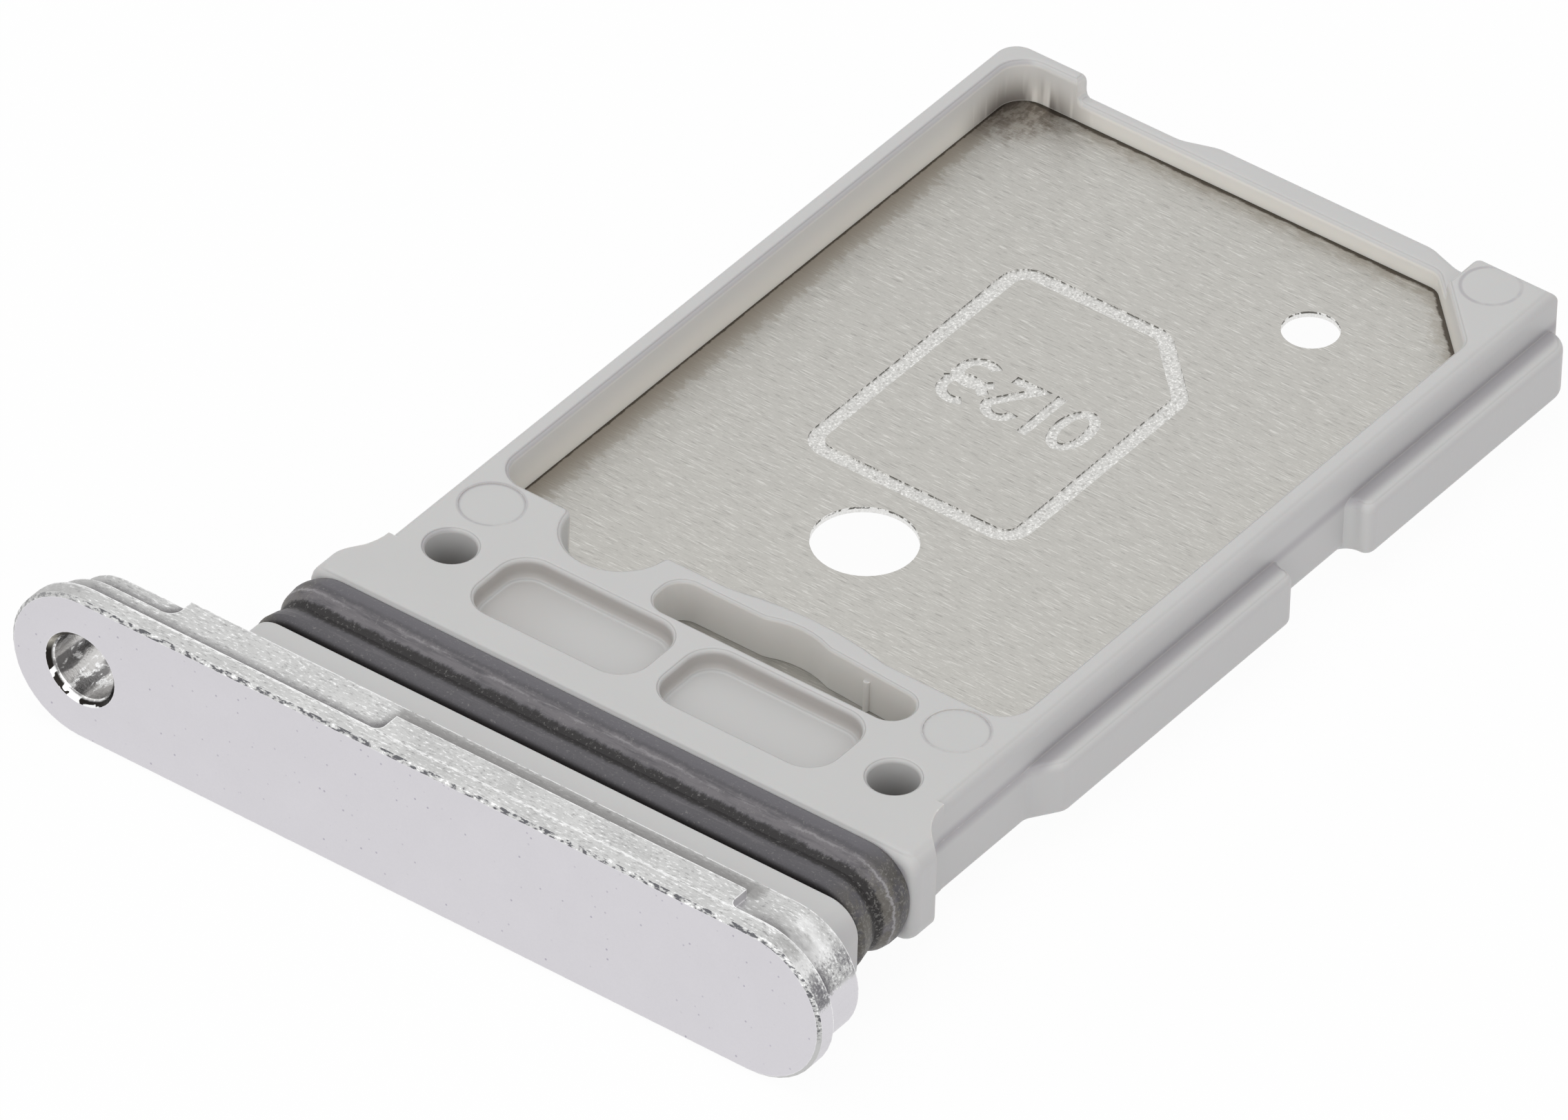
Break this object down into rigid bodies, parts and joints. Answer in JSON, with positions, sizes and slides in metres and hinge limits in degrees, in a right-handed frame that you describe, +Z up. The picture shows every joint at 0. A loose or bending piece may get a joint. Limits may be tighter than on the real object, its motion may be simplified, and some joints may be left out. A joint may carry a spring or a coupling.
{
  "type": "sim card tray",
  "caption": "Flat slide-in tray for a small chip card: pill-shaped metal face with an eject-pin hole, soft seal, moulded frame and thin steel divider.",
  "frame": {"origin": "middle of the bounding box's underside", "axes": "+X along the face plate away from the eject-pin hole, +Y from the face plate to the carrier's far end, +Z up, out of the pocket that shows"},
  "size_m": [0.014, 0.0194, 0.0025],
  "materials": {
    "face_metal": "fine bead-blasted and anodised, bright on the cut steps",
    "frame_plastic": "satin moulded light grey",
    "divider_steel": "fine brushed across the tray, laser-etched outline",
    "seal_rubber": "satin dark grey silicone"
  },
  "bodies": {
    "root": {"face_plate": "face_metal", "carrier_frame": "frame_plastic", "divider_plate": "divider_steel", "seal_ring": "seal_rubber"}
  },
  "joints": []
}
